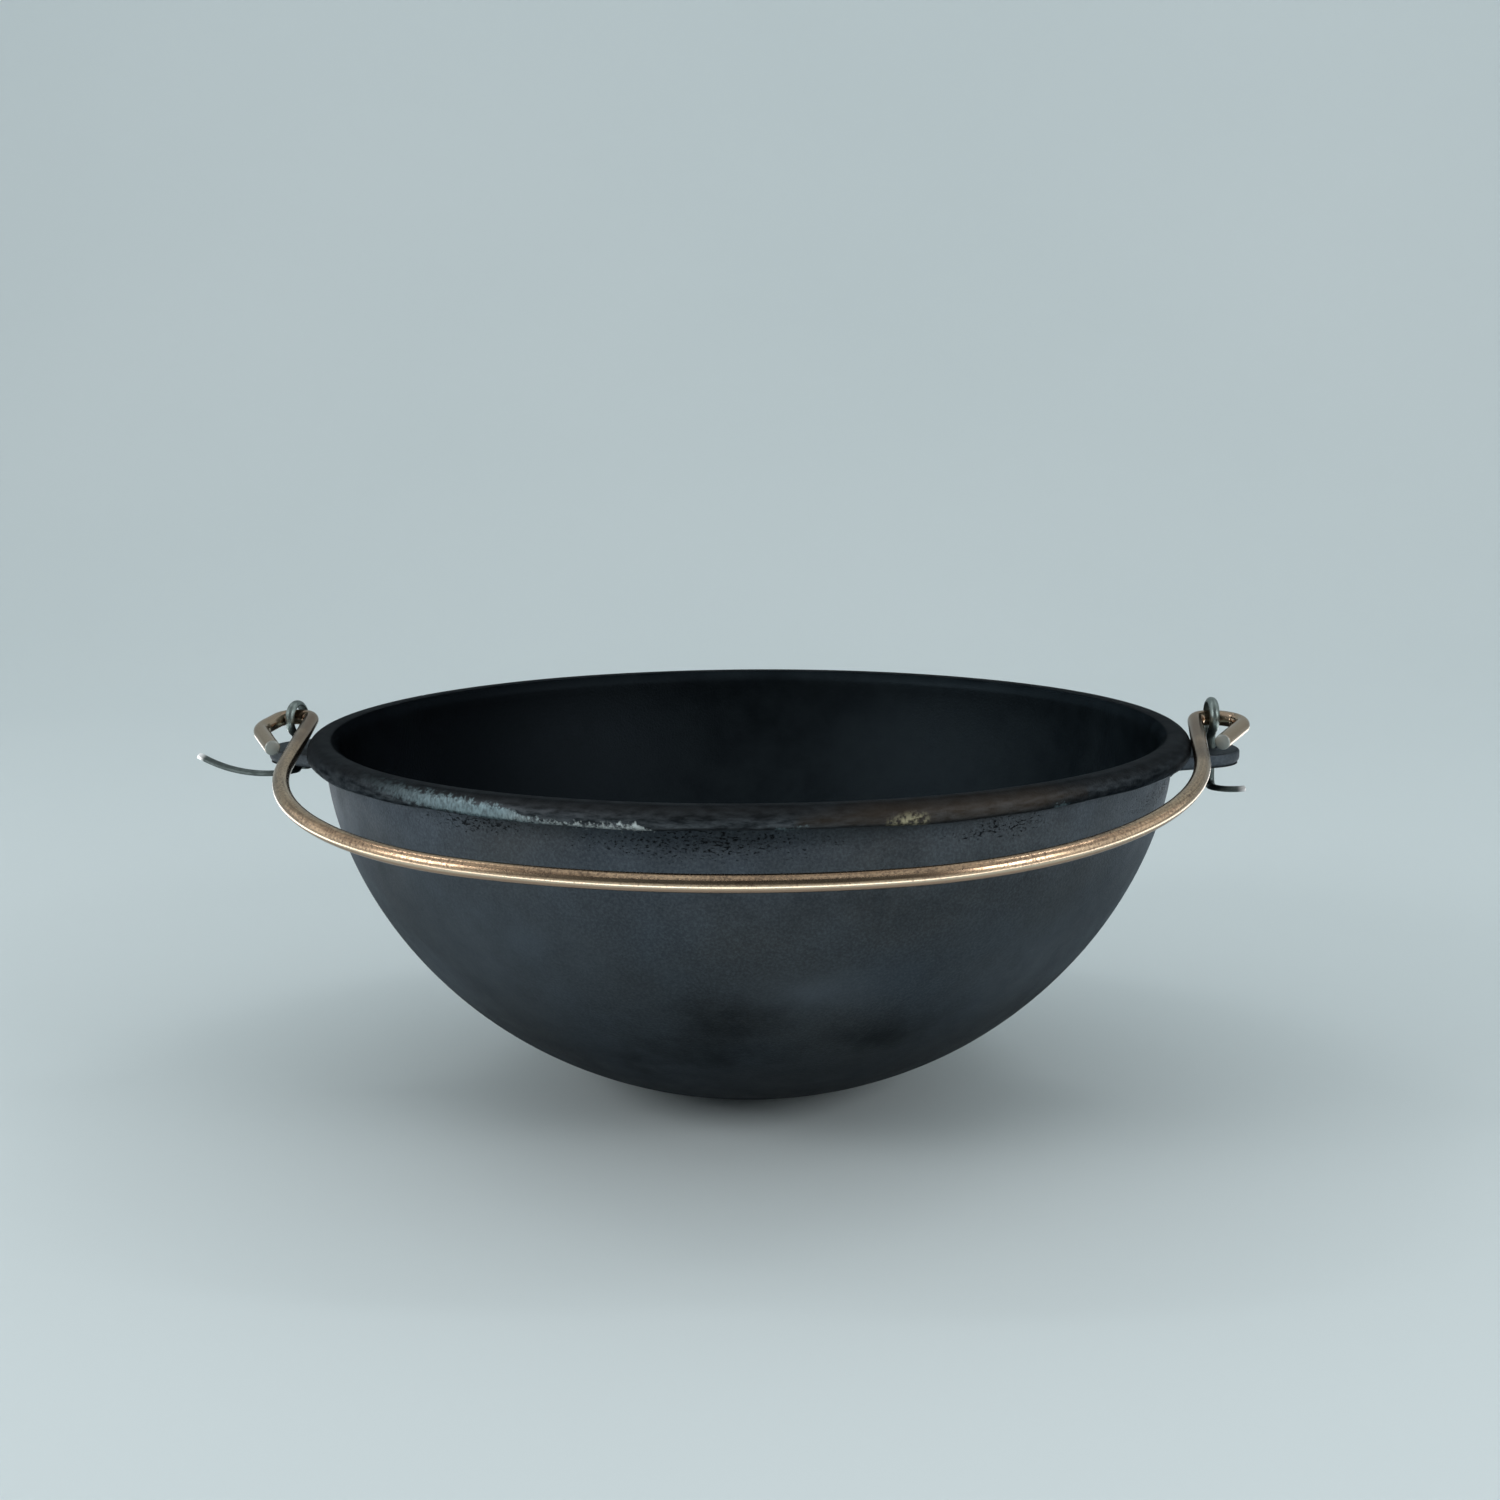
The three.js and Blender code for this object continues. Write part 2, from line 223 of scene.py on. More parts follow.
def ring_mesh(name, rings, fields=None, joined=False):
    """Object made of a grid of points whose rows are closed rings. Neighbouring rings are joined by quads,
    and the last ring is joined to the first, or else each end is closed by a fan to the middle of its
    ring. The sign of the enclosed volume turns the faces outwards. Fields are kept for each point."""
    rows, columns = rings.shape[:2]
    index = np.arange(rows * columns).reshape(rows, columns)
    lower, upper = (index, np.roll(index, -1, axis=0)) if joined else (index[:-1], index[1:])
    quads = np.stack([lower, np.roll(lower, -1, 1), np.roll(upper, -1, 1), upper], axis=-1).reshape(-1, 4)

    def with_ends(values):
        listed = values.reshape(rows * columns, -1)
        return listed if joined else np.concatenate([listed, values[[0, -1]].mean(axis=1).reshape(2, -1)])

    points = with_ends(rings)
    faces = quads.tolist()
    if not joined:
        first = np.stack([np.roll(index[0], -1), index[0], np.full(columns, index.size)], axis=1)
        last = np.stack([index[-1], np.roll(index[-1], -1), np.full(columns, index.size + 1)], axis=1)
        faces += first.tolist() + last.tolist()
    a, b, c, d = (points[quads[:, k]] for k in range(4))
    volume = np.sum(a * (np.cross(b, c) + np.cross(c, d)))
    mesh = bpy.data.meshes.new(name)
    mesh.from_pydata(points.tolist(), [], faces if volume > 0 else [face[::-1] for face in faces])
    mesh.shade_smooth()
    for field, values in (fields or {}).items():
        flat = with_ends(np.broadcast_to(values, (rows, columns, *values.shape[2:])))
        kind, key = ("FLOAT", "value") if values.ndim == 2 else ("FLOAT_VECTOR", "vector")
        mesh.attributes.new(field, kind, "POINT").data.foreach_set(key, flat.astype(np.float32).ravel())
    piece = bpy.data.objects.new(name, mesh)
    bpy.context.scene.collection.objects.link(piece)
    return piece


bowl = ring_mesh("bowl_body", bowl_rings, {
    "inside": np.broadcast_to(oiled_and_shaded_inside, height.shape).astype(float),
    "ground": ground,
    "shine": shine,
    "rubbed": rubbed,
    "browned": browned,
    "rim_and_crease_shade": rim_and_crease_shade,
    "pitted": pitted,
    "sooted_and_shaded": sooted_and_shaded,
    "dried_and_lit": dried_and_lit,
})
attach(bowl, "pot")
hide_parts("bowl")


def linear(hex_colour):
    """An sRGB hex colour as linear red, green and blue, with an alpha of 1."""
    srgb = np.array([int(hex_colour[k:k + 2], 16) for k in (1, 3, 5)]) / 255
    rgb = np.where(srgb <= 0.04045, srgb / 12.92, ((srgb + 0.055) / 1.055) ** 2.4)
    return (*rgb.tolist(), 1.0)


def add_node(tree, kind, inputs=None, **settings):
    """Adds a node with its settings; each input, named or numbered, gets a value or a link."""
    node = tree.nodes.new(kind)
    for name, value in settings.items():
        setattr(node, name, value)
    for name, value in (inputs or {}).items():
        if isinstance(value, bpy.types.NodeSocket):
            tree.links.new(value, node.inputs[name])
        else:
            node.inputs[name].default_value = value
    return node


def empty_material(name):
    """A material with an empty node tree, and that tree."""
    material = bpy.data.materials.new(name)
    material.use_nodes = True
    material.node_tree.nodes.clear()
    return material, material.node_tree


# Oiled cast iron: a dull, dark slate metal. Its sand grain breaks up every reflection, smudges of burnt
# oil make it bluer here and browner there, and bare metal shows grey and ragged where it has been ground.
# Real moulding sand leaves grains of about 0.3 mm, which are drawn three times as coarse so that they show.
smudge_size = 55 * MM
mottle_size = 14 * MM
grain_size = 0.9 * MM
hole_size = 1.3 * MM
chip_size = 1.6 * MM
hatch_size = 0.8 * MM
flow_size = 1.2 * MM
sand_depth = 0.15 * MM
hole_depth = 0.25 * MM
iron, tree = empty_material("oiled_cast_iron")
place = add_node(tree, "ShaderNodeTexCoord").outputs["Object"]
sideways, _, up = add_node(tree, "ShaderNodeSeparateXYZ", {0: place}).outputs
smudge = add_node(tree, "ShaderNodeTexNoise", {
    "Vector": place, "Scale": 1 / smudge_size, "Detail": 3, "Roughness": 0.5,
}).outputs["Fac"]
mottle = add_node(tree, "ShaderNodeTexNoise", {
    "Vector": place, "Scale": 1 / mottle_size, "Detail": 5, "Roughness": 0.6,
}).outputs["Fac"]
grain = add_node(tree, "ShaderNodeTexNoise", {
    "Vector": place, "Scale": 1 / grain_size, "Detail": 3, "Roughness": 0.65,
}).outputs["Fac"]
chips = add_node(tree, "ShaderNodeTexNoise", {
    "Vector": place, "Scale": 1 / chip_size, "Detail": 4, "Roughness": 0.65,
}).outputs["Fac"]

smudged = add_node(tree, "ShaderNodeMapRange", {
    "Value": smudge, "From Min": 0.38, "From Max": 0.62,
}).outputs[0]
skin = add_node(tree, "ShaderNodeMix", {
    0: smudged, 6: linear("#3b4249"), 7: linear("#3e4143"),
}, data_type="RGBA").outputs[2]
mottled = add_node(tree, "ShaderNodeMapRange", {
    "Value": mottle, "From Min": 0.35, "From Max": 0.7,
}).outputs[0]
faint_mottle = add_node(tree, "ShaderNodeMath", {0: mottled, 1: 0.4}, operation="MULTIPLY").outputs[0]
skin = add_node(tree, "ShaderNodeMix", {
    0: faint_mottle, 6: skin, 7: linear("#33393f"),
}, data_type="RGBA").outputs[2]
grained = add_node(tree, "ShaderNodeMapRange", {
    "Value": grain, "From Min": 0.4, "From Max": 0.7, "To Max": 0.36,
}).outputs[0]
skin = add_node(tree, "ShaderNodeMix", {
    0: grained, 6: skin, 7: linear("#5c646a"),
}, data_type="RGBA").outputs[2]
# Painted light as well as a thinner film: the patches lighten the wall
dry_and_lit = add_node(tree, "ShaderNodeAttribute", attribute_name="dried_and_lit").outputs["Fac"]
uneven_film = add_node(tree, "ShaderNodeMapRange", {
    "Value": mottle, "From Min": 0.3, "From Max": 0.7, "To Min": 0.65, "To Max": 0.35,
}).outputs[0]
dry_and_lit = add_node(tree, "ShaderNodeMath", {0: dry_and_lit, 1: uneven_film}, operation="MULTIPLY").outputs[0]
skin = add_node(tree, "ShaderNodeMix", {0: dry_and_lit, 6: skin, 7: linear("#5a626a")}, data_type="RGBA").outputs[2]

# Soot from the fire in clouds low on the bowl, with painted shade that darkens it towards the bottom; burnt
# oil on the rim with painted shade on its top; burnt oil and painted shade all over the inside
soot_and_shade = add_node(tree, "ShaderNodeAttribute", attribute_name="sooted_and_shaded").outputs["Fac"]
clouds = add_node(tree, "ShaderNodeMapRange", {
    "Value": mottle, "From Min": 0.3, "From Max": 0.6, "To Min": 0.35, "To Max": 0.75,
}).outputs[0]
soot_and_shade = add_node(tree, "ShaderNodeMath", {0: soot_and_shade, 1: clouds}, operation="MULTIPLY").outputs[0]
# Painted shade: darker towards the bottom of the bowl
low_shade = add_node(tree, "ShaderNodeMapRange", {
    "Value": up, "From Min": 55 * MM, "From Max": 12 * MM, "To Max": 0.8,
}).outputs[0]
soot_and_shade = add_node(tree, "ShaderNodeMath", {0: soot_and_shade, 1: low_shade}, operation="MAXIMUM").outputs[0]
skin = add_node(tree, "ShaderNodeMix", {
    0: soot_and_shade, 6: skin, 7: linear("#161a1d"),
}, data_type="RGBA").outputs[2]
flowing = add_node(tree, "ShaderNodeMapping", {"Vector": place, "Scale": (0.25, 0.25, 1)}).outputs[0]
flow = add_node(tree, "ShaderNodeTexNoise", {
    "Vector": flowing, "Scale": 1 / flow_size, "Detail": 4, "Roughness": 0.6,
}).outputs["Fac"]
flow = add_node(tree, "ShaderNodeMapRange", {"Value": flow, "From Min": 0.35, "From Max": 0.65}).outputs[0]
burnt_face = add_node(tree, "ShaderNodeMix", {
    0: flow, 6: linear("#1f2326"), 7: linear("#44494d"),
}, data_type="RGBA").outputs[2]
# Painted shade: the rim's top is darkened
rim_top_shade = add_node(tree, "ShaderNodeMapRange", {
    "Value": up, "From Min": bowl_height - 4 * MM, "From Max": bowl_height - 1 * MM, "To Max": 0.75,
}).outputs[0]
burnt_rim_and_top_shade = add_node(tree, "ShaderNodeMix", {
    0: rim_top_shade, 6: burnt_face, 7: linear("#262728"),
}, data_type="RGBA").outputs[2]
on_rim = add_node(tree, "ShaderNodeMapRange", {
    "Value": up, "From Min": crease_height - 1 * MM, "From Max": crease_height + 0.5 * MM,
}).outputs[0]
skin = add_node(tree, "ShaderNodeMix", {0: on_rim, 6: skin, 7: burnt_rim_and_top_shade}, data_type="RGBA").outputs[2]
# Painted shade with the burnt oil: the inside is drawn darker than the outside, and darker still towards
# its left
inside = add_node(tree, "ShaderNodeAttribute", attribute_name="inside").outputs["Fac"]
burnt_oil_and_shade = add_node(tree, "ShaderNodeMix", {
    0: mottled, 6: linear("#1a2024"), 7: linear("#22292d"),
}, data_type="RGBA").outputs[2]
painted_left_shade = add_node(tree, "ShaderNodeMapRange", {
    "Value": sideways, "From Min": 0, "From Max": -0.8 * inner_radius, "To Max": 0.9,
}).outputs[0]
burnt_oil_and_shade = add_node(tree, "ShaderNodeMix", {
    0: painted_left_shade, 6: burnt_oil_and_shade, 7: linear("#101316"),
}, data_type="RGBA").outputs[2]
skin = add_node(tree, "ShaderNodeMix", {0: inside, 6: skin, 7: burnt_oil_and_shade}, data_type="RGBA").outputs[2]
# Painted shade: reflections are dimmed on the rim and more inside the bowl
edge = add_node(tree, "ShaderNodeMix", {
    0: on_rim, 6: linear("#d2d4d6"), 7: linear("#acaeb0"),
}, data_type="RGBA").outputs[2]
edge = add_node(tree, "ShaderNodeMix", {
    0: inside, 6: edge, 7: linear("#6f7174"),
}, data_type="RGBA").outputs[2]

# Pits that loose sand left just under the rim, drawn out level by the mould's seam
level = add_node(tree, "ShaderNodeMapping", {"Vector": place, "Scale": (1, 1, 2)}).outputs[0]
holes = add_node(tree, "ShaderNodeTexNoise", {
    "Vector": level, "Scale": 1 / hole_size, "Detail": 3, "Roughness": 0.6,
}).outputs["Fac"]
loose = add_node(tree, "ShaderNodeAttribute", attribute_name="pitted").outputs["Fac"]
loose = add_node(tree, "ShaderNodeMath", {0: loose, 1: 0.3, 2: holes}, operation="MULTIPLY_ADD").outputs[0]
hollow = add_node(tree, "ShaderNodeMapRange", {
    "Value": loose, "From Min": 0.82, "From Max": 0.92,
}).outputs[0]
skin = add_node(tree, "ShaderNodeMix", {
    0: hollow, 6: skin, 7: linear("#16191c"),
}, data_type="RGBA").outputs[2]

# Browned, rubbed and bare metal, and painted shade under the rim: chips make each edge ragged, and the file
# left an upright hatch
brown = add_node(tree, "ShaderNodeAttribute", attribute_name="browned").outputs["Fac"]
patchy = add_node(tree, "ShaderNodeMapRange", {"Value": mottle, "To Min": 0.3}).outputs[0]
brown = add_node(tree, "ShaderNodeMath", {0: brown, 1: patchy}, operation="MULTIPLY").outputs[0]
skin = add_node(tree, "ShaderNodeMix", {
    0: brown, 6: skin, 7: linear("#362f28"),
}, data_type="RGBA").outputs[2]
# Painted shade under the rim: its lower edge on the right and the crease all round are darkened
under_rim_shade = add_node(tree, "ShaderNodeAttribute", attribute_name="rim_and_crease_shade").outputs["Fac"]
ragged_shade = add_node(tree, "ShaderNodeMapRange", {
    "Value": chips, "From Min": 0.3, "From Max": 0.6, "To Min": 0.35, "To Max": 0.9,
}).outputs[0]
under_rim_shade = add_node(tree, "ShaderNodeMath", {0: under_rim_shade, 1: ragged_shade}, operation="MULTIPLY").outputs[0]
skin = add_node(tree, "ShaderNodeMix", {
    0: under_rim_shade, 6: skin, 7: linear("#14171a"),
}, data_type="RGBA").outputs[2]
upright = add_node(tree, "ShaderNodeMapping", {"Vector": place, "Scale": (1, 1, 0.45)}).outputs[0]
hatch = add_node(tree, "ShaderNodeTexNoise", {
    "Vector": upright, "Scale": 1 / hatch_size, "Detail": 2,
}).outputs["Fac"]
reached = add_node(tree, "ShaderNodeAttribute", attribute_name="ground").outputs["Fac"]
bare = add_node(tree, "ShaderNodeMath", {0: chips, 1: 2.2, 2: reached}, operation="MULTIPLY_ADD").outputs[0]
bare = add_node(tree, "ShaderNodeMapRange", {"Value": bare, "From Min": 1.45, "From Max": 1.75}).outputs[0]
reached = add_node(tree, "ShaderNodeMath", {
    0: reached, 1: 4,
}, operation="MULTIPLY", use_clamp=True).outputs[0]
bare = add_node(tree, "ShaderNodeMath", {0: bare, 1: reached}, operation="MULTIPLY").outputs[0]
hatched = add_node(tree, "ShaderNodeMapRange", {
    "Value": hatch, "From Min": 0.35, "From Max": 0.65, "To Min": 0.4, "To Max": 1,
}).outputs[0]
bare = add_node(tree, "ShaderNodeMath", {0: bare, 1: hatched}, operation="MULTIPLY").outputs[0]
bareness = add_node(tree, "ShaderNodeAttribute", attribute_name="shine").outputs["Fac"]
bare = add_node(tree, "ShaderNodeMath", {0: bare, 1: bareness}, operation="MULTIPLY").outputs[0]
rub = add_node(tree, "ShaderNodeAttribute", attribute_name="rubbed").outputs["Fac"]
worn = add_node(tree, "ShaderNodeMapRange", {
    "Value": chips, "From Min": 0.43, "From Max": 0.6, "To Max": 0.9,
}).outputs[0]
rub = add_node(tree, "ShaderNodeMath", {0: rub, 1: worn}, operation="MULTIPLY").outputs[0]
skin = add_node(tree, "ShaderNodeMix", {0: rub, 6: skin, 7: linear("#a8a387")}, data_type="RGBA").outputs[2]
scraped = add_node(tree, "ShaderNodeMapRange", {
    "Value": bareness, "From Min": 0.96, "From Max": 0.98,
}).outputs[0]
metal = add_node(tree, "ShaderNodeMix", {
    0: scraped, 6: linear("#718388"), 7: linear("#aab3b4"),
}, data_type="RGBA").outputs[2]
skin = add_node(tree, "ShaderNodeMix", {0: bare, 6: skin, 7: metal}, data_type="RGBA").outputs[2]

dullness = add_node(tree, "ShaderNodeMapRange", {
    "Value": mottle, "From Min": 0.3, "From Max": 0.7, "To Min": 0.5, "To Max": 0.62,
}).outputs[0]
sand = add_node(tree, "ShaderNodeBump", {"Height": grain, "Strength": 1, "Distance": sand_depth}).outputs[0]
holed = add_node(tree, "ShaderNodeBump", {
    "Height": hollow, "Strength": 1, "Distance": hole_depth, "Normal": sand,
}, invert=True).outputs[0]
surface = add_node(tree, "ShaderNodeBsdfPrincipled", {
    "Base Color": skin, "Metallic": 1.0, "Roughness": dullness, "Specular Tint": edge,
    "Normal": holed,
})
add_node(tree, "ShaderNodeOutputMaterial", {"Surface": surface.outputs[0]})
bowl.data.materials.append(iron)


# Ears: two flat lugs of the same casting, standing out level from the wall just under the rim.
# Each has a hole drilled through it for its split pin, and a small fillet where it meets the wall.
hinges = {joint["name"]: Vector(joint["pos_m"]) for joint in frame["joints"]}
pin_reach = hinges["right_pin_swivel"].x
ear_underside = hinges["right_pin_swivel"].z
ear_thickness = 5 * MM
ear_end_round = 18 * MM
ear_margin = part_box("bowl")[1].x - pin_reach
ear_root_half = 25 * MM
ear_top_round = 0.9 * MM
ear_lower_round = 2.4 * MM
ear_fillet = 2 * MM
hole_radius = 2.4 * MM
hole_edge_round = 0.4 * MM


def ear_reach(bearing):
    """Distance from the pin hole to the ear's outline: a round end joined by its tangents to the root."""
    root_x = np.sqrt((body_radius - wall_thickness / 2) ** 2 - ear_root_half ** 2)
    end_x = pin_reach + ear_margin - ear_end_round
    toward_root = np.degrees(np.arctan2(ear_root_half, root_x - end_x))
    reach = np.hypot(root_x - end_x, ear_root_half)
    tangent = toward_root - np.degrees(np.arccos(ear_end_round / reach))
    end = arc(end_x, 0, ear_end_round, -tangent, tangent, 90)
    flank = np.linspace(end[-1], (root_x, ear_root_half), 30)[1:]
    root = np.linspace(flank[-1], flank[-1] * (1, -1), 60)[1:]
    outline = np.concatenate([end, flank, root, flank[::-1] * (1, -1)]) - (pin_reach, 0)
    angle = np.arctan2(outline[:, 1], outline[:, 0])
    order = np.argsort(angle)
    return np.interp(bearing, angle[order], np.hypot(*outline.T)[order], period=2 * np.pi)


def ear_rings(side):
    """Points of an ear: a closed section, from the hole over the top, round the edge and back under, is
    carried round the hole and stretched to the outline. Near the wall it thickens into a fillet."""
    bearing = np.linspace(-np.pi, np.pi, 160, endpoint=False)[:, None]
    half = ear_thickness / 2
    lip = arc(0, half - hole_edge_round, hole_edge_round, 180, 90, 5)
    spread = np.linspace(0, 1, 14)[1:-1]
    share = np.concatenate([np.zeros(5), spread, np.ones(8)])
    faces = []
    for edge_round, facing in ((ear_top_round, 1), (ear_lower_round, -1)):
        edge = arc(0, half - edge_round, edge_round, 90, 0, 8)
        inset = np.concatenate([lip[:, 0] + hole_edge_round, 0 * spread, edge[:, 0] - edge_round])
        level = facing * np.concatenate([lip[:, 1], half + 0 * spread, edge[:, 1]])
        faces.append(np.stack([share, inset, level])[:, ::facing])
    share, inset, level = np.concatenate(faces, axis=1)
    distance = hole_radius + share * (ear_reach(bearing) - hole_radius) + inset
    x = pin_reach + distance * np.cos(bearing)
    y = distance * np.sin(bearing)
    from_wall = np.clip((np.hypot(x, y) - body_radius) / ear_fillet, 0, 1)
    middle = ear_underside + half
    z = middle + level + np.sign(level) * ear_fillet * (1 - np.sqrt(1 - (1 - from_wall) ** 2))
    return np.stack([side * x, y, z], axis=-1)


for name, side in (("left_ear", -1), ("right_ear", 1)):
    ear = ring_mesh(name, ear_rings(side), joined=True)
    ear.data.materials.append(iron)
    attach(ear, "pot")
    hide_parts("bowl")


# Split pins: half-round steel wire doubled over into an eye, with its two legs put through the ear's hole
# and bent apart underneath. The legs were cut with pliers, so their tips are bare and bright.
axis_height = hinges["bail_swing"].z
wire_radius = 1.8 * MM
leg_gap = 0.3 * MM
eye_opening = 10.4 * MM
neck_round = 4 * MM
leg_bend = 3.2 * MM
leg_turn = 5 * MM
tip_round = 0.5 * MM
cut_tip_share = 0.78
flat_crown = 0.14
section_points = 28
wire_step = 0.5 * MM
plane_margin = 0.001 * MM
wire_thickness = wire_radius
eye_radius = (eye_opening + wire_thickness) / 2
leg_offset = (leg_gap + wire_thickness) / 2


def steered(*points):
    """Curve steered by a few points: every pair of neighbours gives the point between them at the same
    share of the way, and this is repeated until one point is left."""
    share = np.linspace(0, 1, 40)[:, None]
    points = [np.array(point, float) for point in points]
    while len(points) > 1:
        points = [a + (b - a) * share for a, b in zip(points, points[1:])]
    return points[0]


def leg_path(face, heading, straight, run, sag, lift):
    """One leg from its shank to its tip: bent over flat to its own face, then turned and run on along X,
    dipping by the sag and ending lifted."""
    shank_end = ear_underside - straight * MM
    level = shank_end - leg_bend
    bent = face * (leg_offset + leg_bend)
    beside = bent + face * leg_turn
    half_way = (heading * run * MM / 2, beside, level - (sag + lift / 2) * MM)
    bend = steered((0, face * leg_offset, shank_end), (0, face * leg_offset, level), (0, bent, level))
    tip = (heading * run * MM, beside, level + lift * MM)
    rest = steered((0, bent, level), (0, beside, level), half_way, tip)
    return np.concatenate([bend, rest[1:]])


def eye_path(eye_height):
    """Shank and eye in the plane X = 0, from the front leg over the top to the back leg: two neck arcs
    that touch the shank and the ring, and the ring between them."""
    neck_across = leg_offset + neck_round
    neck_below = np.sqrt((eye_radius + neck_round) ** 2 - neck_across ** 2)
    turn = np.degrees(np.arctan2(neck_below, neck_across))
    front = arc(-neck_across, eye_height - neck_below, neck_round, 0, turn, 14)
    ring = arc(0, eye_height, eye_radius, 180 + turn, -turn, 90)
    flat = np.concatenate([front, ring[1:-1], front[::-1] * (-1, 1)])
    return np.column_stack([np.zeros(len(flat)), flat])


def even_path(points, step, tip):
    """The same path with points at nearly equal steps, closer together over the last few tips' length,
    and the length from its start to each."""
    gaps = np.linalg.norm(np.diff(points, axis=0), axis=1)
    length = np.concatenate([[0], np.cumsum(gaps)])
    near = tip * np.array([0, 0.12, 0.3, 0.6, 1])
    far = length[-1] - near[::-1]
    count = int((length[-1] - 2 * tip) / step)
    along = np.concatenate([near, np.linspace(near[-1], far[0], count)[1:-1], far])
    return np.stack([np.interp(along, length, points[:, k]) for k in range(3)], axis=1), along


def tip_scale(along, tip):
    """Size of the section near a cut end: full one tip's length in, and falling as a quarter circle to a
    share of it at the cut."""
    from_end = np.clip(np.minimum(along, along[-1] - along) / tip, 0, 1)
    return cut_tip_share + (1 - cut_tip_share) * np.sqrt(1 - (1 - from_end) ** 2)


def swept(path, across, section):
    """Points of a section carried along a path: its first part is laid off along the unit vector across
    the path, its second along the one square to both."""
    way = np.gradient(path, axis=0)
    way /= np.linalg.norm(way, axis=1, keepdims=True)
    out = np.cross(across, way)
    return path[:, None] + section[..., :1] * across[:, None] + section[..., 1:] * out[:, None]


def half_round(size):
    """Half-round section: a half circle above its flat and a very shallow half ellipse below, on which the
    rolled flat is slightly crowned. One section for each size."""
    angle = np.linspace(0, 2 * np.pi, section_points, endpoint=False)
    up_part = np.where(np.sin(angle) > 0, np.sin(angle), flat_crown * np.sin(angle)) - 0.5
    return wire_radius * size[:, None, None] * np.stack([np.cos(angle), up_part], axis=-1)


# Dull rolled steel: grey-green, with dark grime in patches and fine scratches, painted shade on the legs
# under the ear, and bright at the cut tips.
# The scratches are drawn coarser than real ones so that they show.
grime_size = 3 * MM
scratch_size = 0.7 * MM
scratch_depth = 0.03 * MM
steel, tree = empty_material("dull_rolled_steel")
place = add_node(tree, "ShaderNodeTexCoord").outputs["Object"]
grime = add_node(tree, "ShaderNodeTexNoise", {
    "Vector": place, "Scale": 1 / grime_size, "Detail": 4, "Roughness": 0.65,
}).outputs["Fac"]
scratch = add_node(tree, "ShaderNodeTexNoise", {
    "Vector": place, "Scale": 1 / scratch_size, "Detail": 2,
}).outputs["Fac"]
grimed = add_node(tree, "ShaderNodeMapRange", {"Value": grime, "From Min": 0.4, "From Max": 0.7}).outputs[0]
tone = add_node(tree, "ShaderNodeMix", {
    0: grimed, 6: linear("#7c8784"), 7: linear("#5b6462"),
}, data_type="RGBA").outputs[2]
up = add_node(tree, "ShaderNodeSeparateXYZ", {0: place}).outputs["Z"]
# Painted shade: the legs are darkened under the ear
shade_under_ear = add_node(tree, "ShaderNodeMapRange", {
    "Value": up, "From Min": ear_underside + ear_thickness, "From Max": ear_underside, "To Max": 0.7,
}).outputs[0]
tone = add_node(tree, "ShaderNodeMix", {
    0: shade_under_ear, 6: tone, 7: linear("#3a4242"),
}, data_type="RGBA").outputs[2]
cut = add_node(tree, "ShaderNodeAttribute", attribute_name="cut").outputs["Fac"]
tone = add_node(tree, "ShaderNodeMix", {0: cut, 6: tone, 7: linear("#ffffff")}, data_type="RGBA").outputs[2]
dullness = add_node(tree, "ShaderNodeMapRange", {
    "Value": grime, "From Min": 0.3, "From Max": 0.7, "To Min": 0.32, "To Max": 0.55,
}).outputs[0]
scratched = add_node(tree, "ShaderNodeBump", {
    "Height": scratch, "Strength": 1, "Distance": scratch_depth,
}).outputs[0]
surface = add_node(tree, "ShaderNodeBsdfPrincipled", {
    "Base Color": tone, "Metallic": 1.0, "Roughness": dullness, "Normal": scratched,
})
add_node(tree, "ShaderNodeOutputMaterial", {"Surface": surface.outputs[0]})

# Each pin: its side, how far it stands turned in degrees, how far its eye stands above or below the hinge,
# how bright its cut end is, and its front leg in millimetres. The cut end fades over the bright length.
bright_length = 3.2 * MM
back_leg = {"straight": 0.3, "run": 3, "sag": 0, "lift": 0}
pins = (
    ("left", -1, 14, -0.7 * MM, 1.0, {"straight": 0.3, "run": 37, "sag": 1.6, "lift": 5}),
    ("right", 1, -3, 0.7 * MM, 0.55, {"straight": 5.4, "run": 11, "sag": 0.6, "lift": 0}),
)
for hand, side, swivel, eye_rise, cut_shine, front_leg in pins:
    front = leg_path(-1, side, **front_leg)[::-1]
    back = leg_path(1, -side, **back_leg)
    eye = eye_path(axis_height + eye_rise)
    path, along = even_path(np.concatenate([front, eye, back]), wire_step, tip_round)
    way = np.gradient(path, axis=0)
    in_plane = np.abs(path[:, :1]) < plane_margin
    level_across = np.cross(way, (0, 0, 1))
    across = np.where(in_plane, (1.0, 0, 0), level_across)
    across /= np.linalg.norm(across, axis=1, keepdims=True)
    rings = swept(path, across, half_round(tip_scale(along, tip_round)))
    turn = Matrix.Translation((side * pin_reach, 0, 0)) @ Matrix.Rotation(np.radians(-swivel), 4, "Z")
    rings = rings @ np.array(turn.to_3x3()).T + np.array(turn.translation)
    from_end = np.minimum(along, along[-1] - along)
    cut_end = cut_shine * np.clip(1.5 - 1.5 * from_end / bright_length, 0, 1)
    pin = ring_mesh(hand + "_pin", rings, {"cut": np.repeat(cut_end[:, None], rings.shape[1], axis=1)})
    pin.data.materials.append(steel)
    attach(pin, hand + "_pin")
    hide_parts(hand + "_split_pin")


